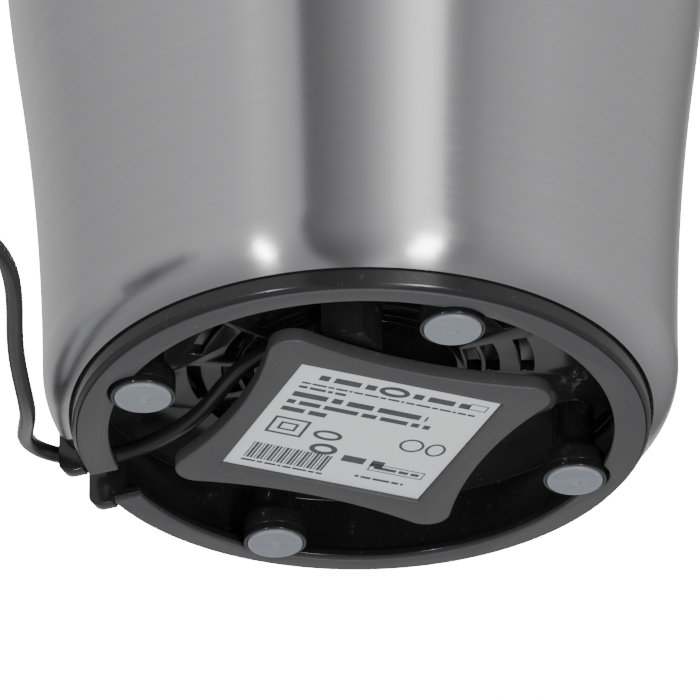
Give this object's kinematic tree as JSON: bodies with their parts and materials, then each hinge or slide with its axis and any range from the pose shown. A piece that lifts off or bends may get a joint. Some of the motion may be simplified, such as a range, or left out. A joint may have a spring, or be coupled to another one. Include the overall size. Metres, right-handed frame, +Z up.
{
  "type": "electric blade coffee grinder",
  "caption": "Electric blade coffee grinder with a brushed-steel casing, clear lid, steel bowl, push button and a cord-winding recess in the base.",
  "frame": {"origin": "centre of the plane that the four feet stand on", "axes": "+Z up through the motor shaft and the lid; the cord slot is on the -X side"},
  "size_m": [0.1603, 0.1295, 0.205],
  "materials": {
    "steel": "circumferentially brushed",
    "black_gloss": "glossy black",
    "grey_matte": "fine-grained dark grey",
    "label": "silver-white printed sheet",
    "silicone": "translucent grey silicone",
    "black_rubber": "soft black rubber",
    "screw_steel": "zinc-plated",
    "light_plastic": "light grey",
    "inner_plastic": "dark grey structural plastic",
    "bowl_steel": "polished",
    "blade_steel": "ground steel",
    "clear_lid": "clear, slightly smoked",
    "cast_zinc": "die-cast",
    "bronze": "sintered bronze",
    "lamination": "stacked electrical steel",
    "copper": "enamelled copper",
    "carbon": "graphite",
    "shaft_steel": "ground",
    "fan_plastic": "natural nylon",
    "electric_plastic": "beige",
    "cord_pvc": "soft black PVC",
    "pin_brass": "nickel-plated"
  },
  "bodies": {
    "housing": {"housing_shell": "steel", "base_pan": "black_gloss", "base_ring": "grey_matte", "feet": "silicone", "winder_plate": "grey_matte", "rating_label": "label", "winder_screw": "screw_steel", "base_screws": "screw_steel", "air_baffle": "light_plastic", "inner_housing": "inner_plastic", "collar": "black_gloss", "grinding_bowl": "bowl_steel", "shaft_seal": "black_rubber", "lower_bracket": "cast_zinc", "upper_bracket": "cast_zinc", "lower_bearing": "bronze", "upper_bearing": "bronze", "stator_core": "lamination", "field_coils": "copper", "motor_bolts": "screw_steel", "bolt_spacers": "screw_steel", "damping_mounts": "black_rubber", "brush_holders": "pin_brass", "carbon_brushes": "carbon", "brush_springs": "screw_steel", "suppression_capacitor": "electric_plastic", "terminal_block": "electric_plastic", "thermal_fuse": "screw_steel", "switch_body": "black_gloss", "lever_pin": "shaft_steel", "cord_gland": "black_rubber", "cord_lead": "cord_pvc", "cord_coil": "cord_pvc", "cord_tail": "cord_pvc", "plug_body": "cord_pvc", "plug_pins": "pin_brass", "inner_lead": "cord_pvc"},
    "rotor": {"motor_shaft": "shaft_steel", "rotor_core": "lamination", "rotor_windings": "copper", "commutator": "copper", "cooling_fan": "fan_plastic", "blade": "blade_steel", "blade_nut": "blade_steel"},
    "lid": {"lid": "clear_lid"},
    "button": {"push_button": "grey_matte"},
    "lever": {"switch_lever": "blade_steel"}
  },
  "joints": [
    {"name": "rotor_spin", "type": "hinge", "parent": "housing", "child": "rotor", "pos_m": [0, 0, 0.1], "axis": [0, 0, 1], "continuous": true},
    {"name": "lid_lift", "type": "slide", "parent": "housing", "child": "lid", "axis": [0, 0, 1], "range_m": [0, 0.06]},
    {"name": "button_press", "type": "slide", "parent": "housing", "child": "button", "axis": [-0.9304, 0.3665, 0], "range_m": [0, 0.0015], "stiffness_N_per_m": 800, "springref_m": -0.001},
    {"name": "lever_turn", "type": "hinge", "parent": "housing", "child": "lever", "pos_m": [0.0441, -0.01737, 0.138], "axis": [-0.3665, -0.9304, 0], "range_deg": [0, 8.1]}
  ],
  "couplings": [
    {"joint": "lever_turn", "follows": "button_press", "rad_per_m": 93}
  ]
}
